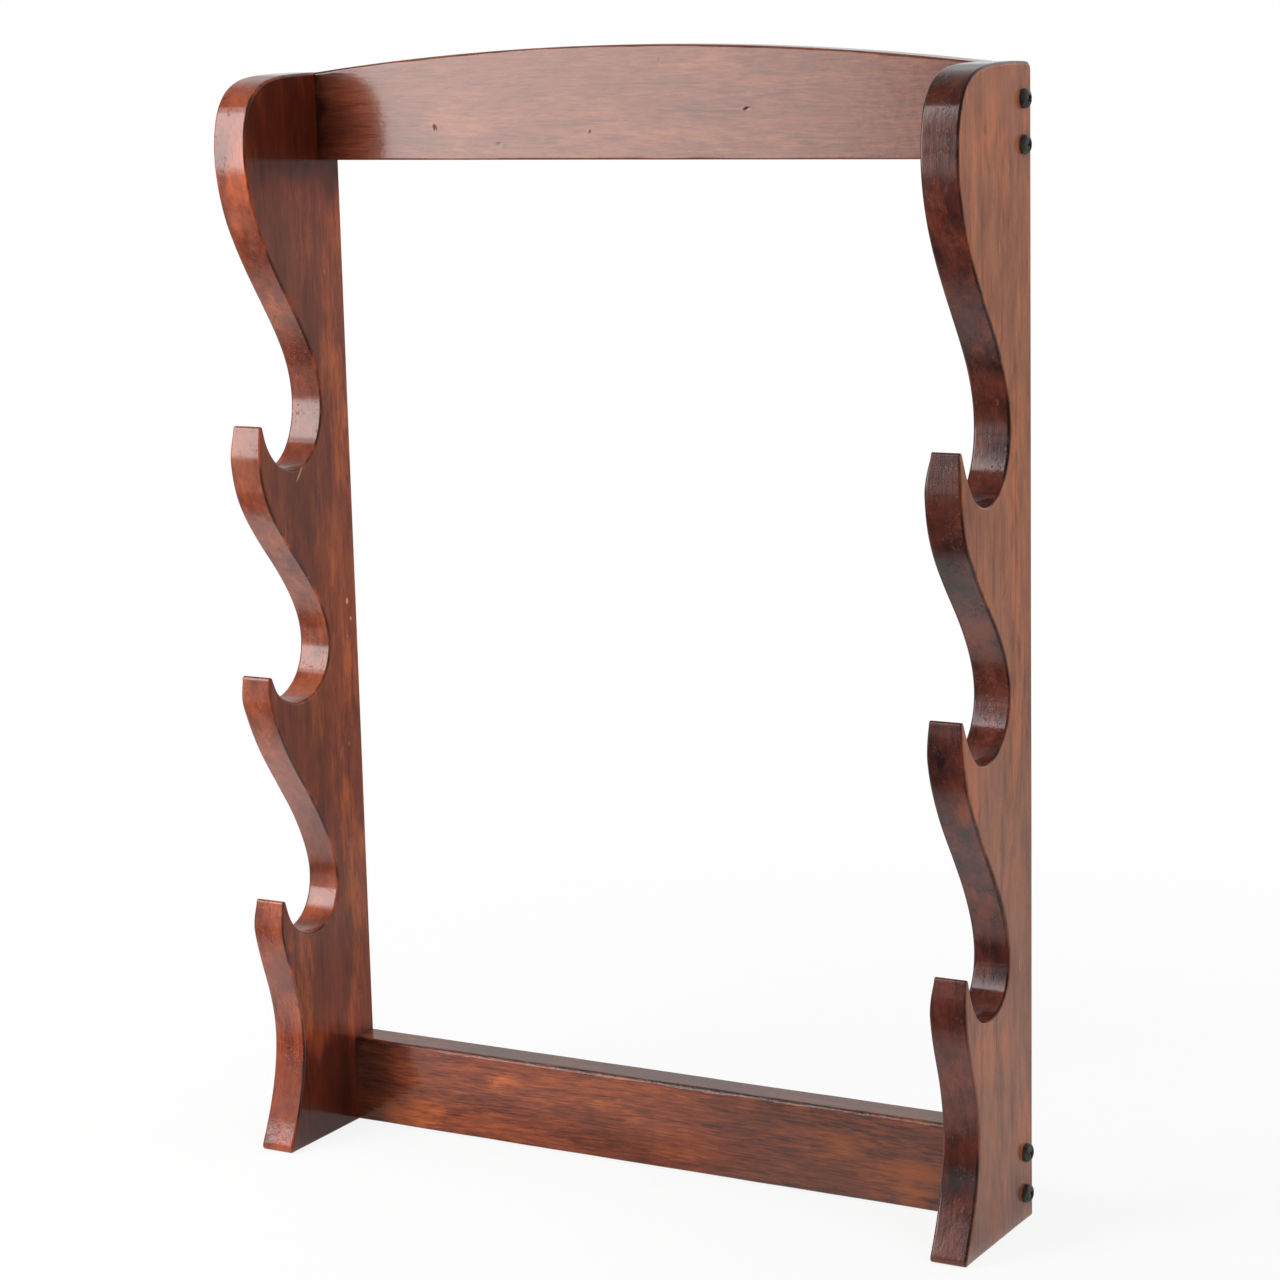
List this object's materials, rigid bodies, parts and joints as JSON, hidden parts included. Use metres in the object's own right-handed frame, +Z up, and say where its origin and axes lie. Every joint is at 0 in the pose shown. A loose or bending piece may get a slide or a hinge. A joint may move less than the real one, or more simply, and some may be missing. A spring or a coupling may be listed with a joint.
{
  "type": "wall-mounted weapon rack",
  "caption": "Wall-hung wooden rack: scroll-cut side panels with open hooked cradles, joined by an arched top rail and a flat bottom rail, for carrying long items such as practice swords.",
  "frame": {"origin": "middle of the footprint, in the plane of the feet", "axes": "+X to the right seen from the front, +Y towards the wall, +Z up"},
  "size_m": [0.4066, 0.0818, 0.563],
  "materials": {
    "panel_wood": "dark reddish-brown stained hardwood, vertical grain, clear satin-gloss lacquer",
    "rail_wood": "dark reddish-brown stained hardwood, grain along the rail, clear satin-gloss lacquer",
    "black_screw_steel": "black oxide pan-head wood screws, satin",
    "zinc_steel": "zinc-plated steel, satin"
  },
  "bodies": {
    "root": {"side_panel_left": "panel_wood", "side_panel_right": "panel_wood", "top_rail": "rail_wood", "bottom_rail": "rail_wood", "assembly_screw_left_top_upper": "black_screw_steel", "assembly_screw_left_top_lower": "black_screw_steel", "assembly_screw_left_bottom_upper": "black_screw_steel", "assembly_screw_left_bottom_lower": "black_screw_steel", "assembly_screw_right_top_upper": "black_screw_steel", "assembly_screw_right_top_lower": "black_screw_steel", "assembly_screw_right_bottom_upper": "black_screw_steel", "assembly_screw_right_bottom_lower": "black_screw_steel", "keyhole_plate_left": "zinc_steel", "plate_screw_left_upper": "zinc_steel", "plate_screw_left_lower": "zinc_steel", "keyhole_plate_right": "zinc_steel", "plate_screw_right_upper": "zinc_steel", "plate_screw_right_lower": "zinc_steel"}
  },
  "joints": []
}
